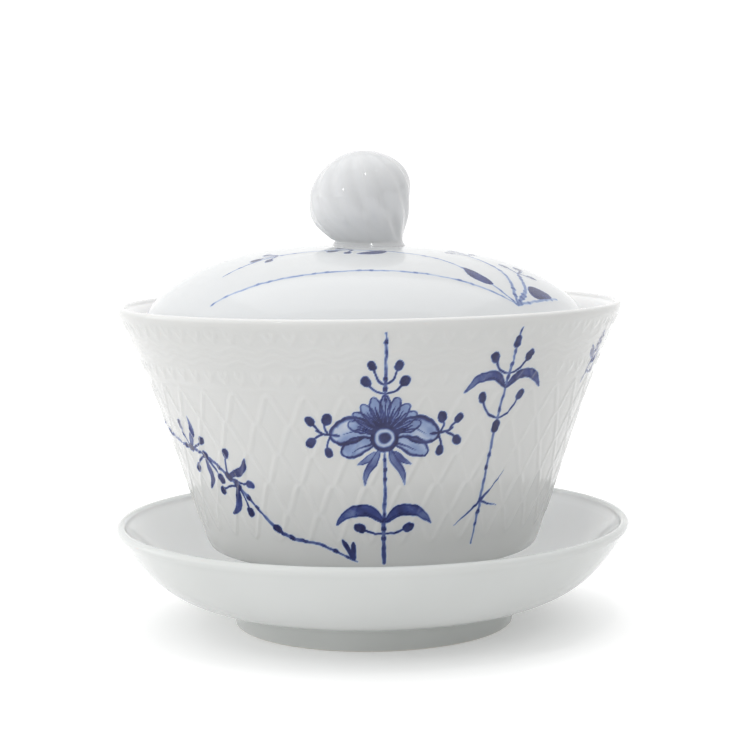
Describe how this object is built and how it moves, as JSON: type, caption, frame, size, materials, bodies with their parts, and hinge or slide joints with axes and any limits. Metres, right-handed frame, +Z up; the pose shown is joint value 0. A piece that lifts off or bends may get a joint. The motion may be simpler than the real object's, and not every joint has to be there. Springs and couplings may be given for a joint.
{
  "type": "gaiwan",
  "caption": "Lidded porcelain tea bowl on a saucer: a flared bowl in moulded relief, a domed lid that drops inside the rim and lifts off by a twisted bud knob, and a dish-shaped saucer.",
  "frame": {"origin": "centre of the saucer's foot ring, on the plane that it stands on", "axes": "+Z up along the common axis of saucer and bowl; -Y towards the front, where the painted flower is; +X to the right"},
  "size_m": [0.1082, 0.1082, 0.0993],
  "materials": {
    "saucer_porcelain": "glazed porcelain, glossy",
    "bowl_porcelain": "glazed porcelain over moulded relief, painted in cobalt blue under the glaze",
    "lid_porcelain": "glazed porcelain, glossy, with cobalt blue lines under the glaze"
  },
  "bodies": {
    "saucer": {"saucer": "saucer_porcelain"},
    "bowl": {"bowl": "bowl_porcelain"},
    "lid": {"lid": "lid_porcelain", "knob": "lid_porcelain"}
  },
  "joints": [
    {"name": "bowl_lift", "type": "slide", "parent": "saucer", "child": "bowl", "axis": [0, 0, 1], "range_m": [0, 0.08]},
    {"name": "lid_lift", "type": "slide", "parent": "bowl", "child": "lid", "axis": [0, 0, 1], "range_m": [0, 0.06]}
  ]
}
